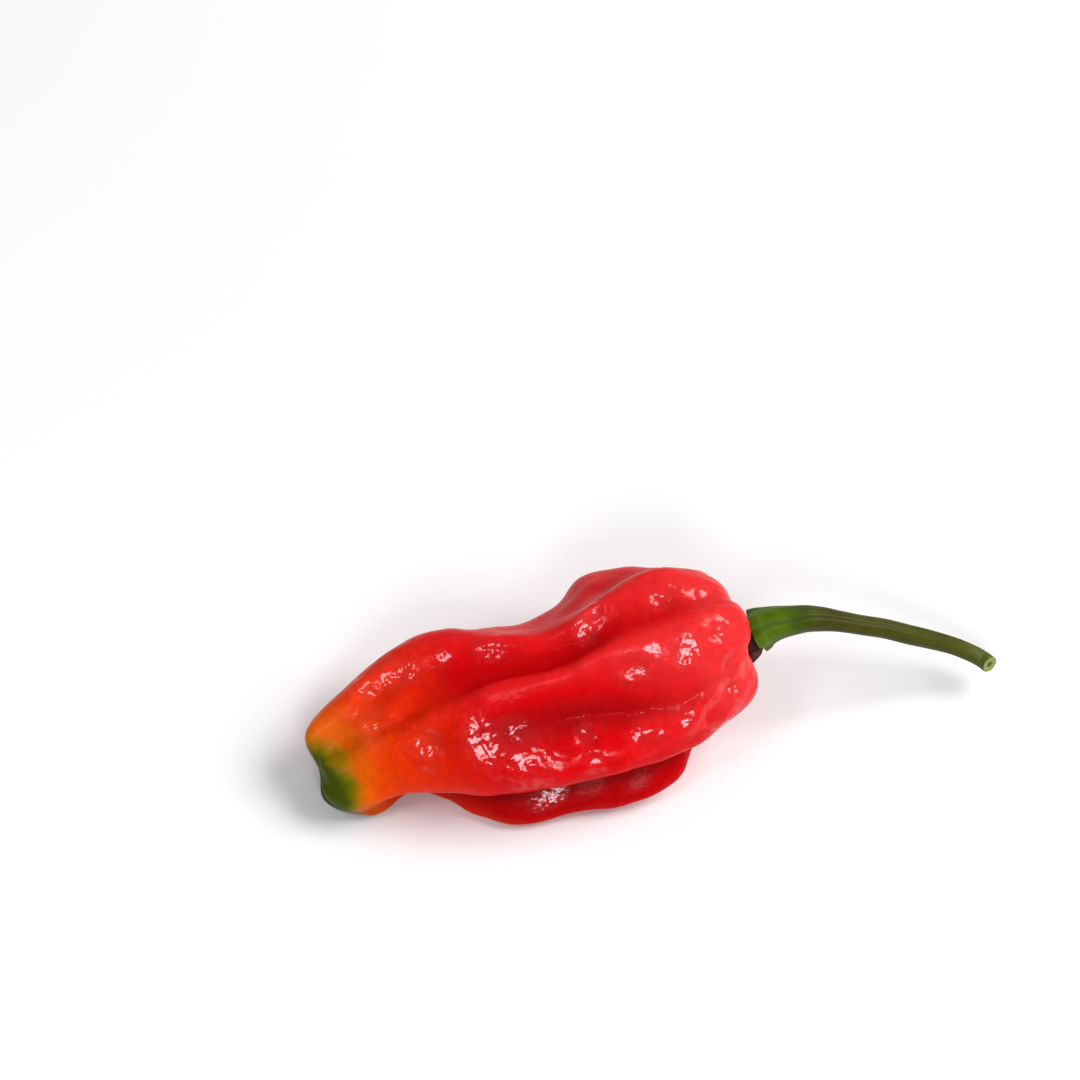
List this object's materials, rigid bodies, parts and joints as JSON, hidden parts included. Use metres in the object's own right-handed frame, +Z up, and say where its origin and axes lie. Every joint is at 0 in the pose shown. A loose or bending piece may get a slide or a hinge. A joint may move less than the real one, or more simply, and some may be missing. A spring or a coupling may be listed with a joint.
{
  "type": "pepper",
  "caption": "Elongated, deeply folded small pepper with a rounded tip, lying on its side, with a slender curved stem and a flared calyx.",
  "frame": {"origin": "on the surface the pepper lies on, under the middle of the whole pepper's box", "axes": "+X runs from the fruit's tip to the stem's cut end, +Z is up, -Y is the side that the picture shows"},
  "size_m": [0.1058, 0.0334, 0.0284],
  "materials": {
    "fruit_skin": "glossy waxy pepper skin, deep red with coral ridges, orange towards a green tip",
    "stem_green": "satin olive green plant stem, finely ribbed",
    "scar_brown": "dull dark brown cork"
  },
  "bodies": {
    "root": {"fruit": "fruit_skin", "stem": "stem_green", "calyx_scar": "scar_brown"}
  },
  "joints": []
}
